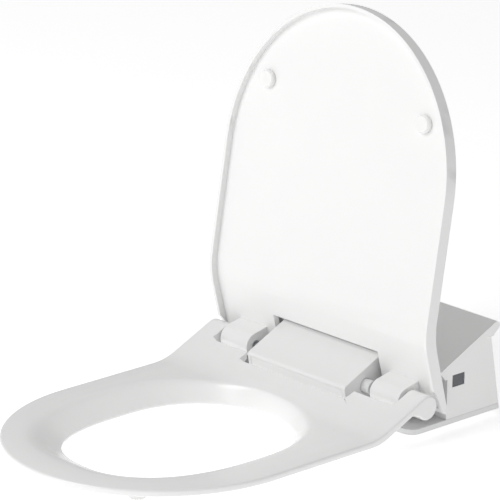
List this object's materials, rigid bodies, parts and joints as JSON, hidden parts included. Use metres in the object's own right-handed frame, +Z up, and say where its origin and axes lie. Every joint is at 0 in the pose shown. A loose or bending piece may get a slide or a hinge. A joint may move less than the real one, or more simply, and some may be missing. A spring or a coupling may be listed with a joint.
{
  "type": "electric bidet seat",
  "caption": "Electric bidet seat with an upright soft-close lid, a slim D-shaped seat ring, a centre block that hides the spray wand, and a wedge-shaped housing behind.",
  "frame": {"origin": "on the ceramic plane under the part, midway between the two fixing bolts and straight below the hinge axis", "axes": "+Z up, -Y towards the front tip of the seat, +X to the right seen from the front"},
  "size_m": [0.373, 0.5805, 0.4832],
  "materials": {
    "white_gloss": "gloss",
    "white_matte": "matte",
    "dark_lens": "gloss",
    "soft_rubber": "matte",
    "bare_steel": "brushed",
    "grey_plastic": "matte",
    "black_plastic": "matte",
    "inlet_brass": "machined",
    "board_green": "satin",
    "hose_plastic": "satin"
  },
  "bodies": {
    "unit": {"housing_shell": "white_gloss", "top_cover": "white_gloss", "block_cover": "white_gloss", "base_plate": "white_matte", "solenoid_valve": "white_matte", "sensor_window": "dark_lens", "wand_seal": "soft_rubber", "foot_front_left": "soft_rubber", "foot_front_right": "soft_rubber", "foot_rear_left": "soft_rubber", "foot_rear_right": "soft_rubber", "base_screw_1": "bare_steel", "base_screw_2": "bare_steel", "base_screw_3": "bare_steel", "base_screw_4": "bare_steel", "button_spring": "bare_steel", "wand_feed_tube": "bare_steel", "inlet_filter": "bare_steel", "mounting_plate": "grey_plastic", "lid_damper": "grey_plastic", "seat_damper": "grey_plastic", "button_guide": "grey_plastic", "wand_cradle": "grey_plastic", "water_heater": "grey_plastic", "switch_frame": "black_plastic", "wand_motor": "black_plastic", "pump": "black_plastic", "mains_gland": "black_plastic", "power_pack": "black_plastic", "water_inlet": "inlet_brass", "control_board": "board_green", "hose_valve_pump": "hose_plastic", "hose_pump_heater": "hose_plastic", "hose_heater_wand": "hose_plastic"},
    "lid": {"lid_shell": "white_gloss", "lid_bumper_left": "soft_rubber", "lid_bumper_right": "soft_rubber", "lid_hinge_pin": "bare_steel", "lid_hinge_bush": "grey_plastic"},
    "seat": {"seat_ring": "white_gloss", "seat_bumper_front_left": "soft_rubber", "seat_bumper_front_right": "soft_rubber", "seat_bumper_rear_left": "soft_rubber", "seat_bumper_rear_right": "soft_rubber", "seat_hinge_pin": "bare_steel", "seat_hinge_bush": "grey_plastic"},
    "wand": {"wand_tube": "white_matte", "nozzle_head": "bare_steel"},
    "pinion": {"wand_pinion": "grey_plastic"},
    "flap": {"nozzle_flap": "white_gloss"},
    "button": {"release_button": "white_gloss"},
    "rocker": {"power_rocker": "black_plastic"}
  },
  "joints": [
    {"name": "lid_hinge", "type": "hinge", "parent": "unit", "child": "lid", "pos_m": [0, 0, 0.0435], "axis": [1, 0, 0], "range_deg": [0, 99]},
    {"name": "seat_hinge", "type": "hinge", "parent": "unit", "child": "seat", "pos_m": [0, 0, 0.0435], "axis": [1, 0, 0], "range_deg": [-97, 0]},
    {"name": "wand_slide", "type": "slide", "parent": "unit", "child": "wand", "axis": [0, -0.8829, -0.4695], "range_m": [0, 0.1]},
    {"name": "wand_pinion_spin", "type": "hinge", "parent": "unit", "child": "pinion", "pos_m": [0.01335, -0.00075, 0.03401], "axis": [0, -0.4695, 0.8829], "range_deg": [0, 820]},
    {"name": "nozzle_flap_lift", "type": "hinge", "parent": "unit", "child": "flap", "pos_m": [0, -0.03457, 0.04448], "axis": [-1, 0, 0], "range_deg": [0, 26]},
    {"name": "release_press", "type": "slide", "parent": "unit", "child": "button", "axis": [1, 0, 0], "range_m": [0, 0.004], "stiffness_N_per_m": 300, "springref_m": -0.002, "deforming": ["button_spring"]},
    {"name": "power_rock", "type": "hinge", "parent": "unit", "child": "rocker", "pos_m": [-0.1735, 0.096, 0.058], "axis": [0, 0, -1], "range_deg": [0, 16]}
  ],
  "couplings": [
    {"joint": "wand_pinion_spin", "follows": "wand_slide", "rad_per_m": 142.86},
    {"joint": "nozzle_flap_lift", "follows": "wand_slide", "rad_per_m": 4.4506}
  ]
}
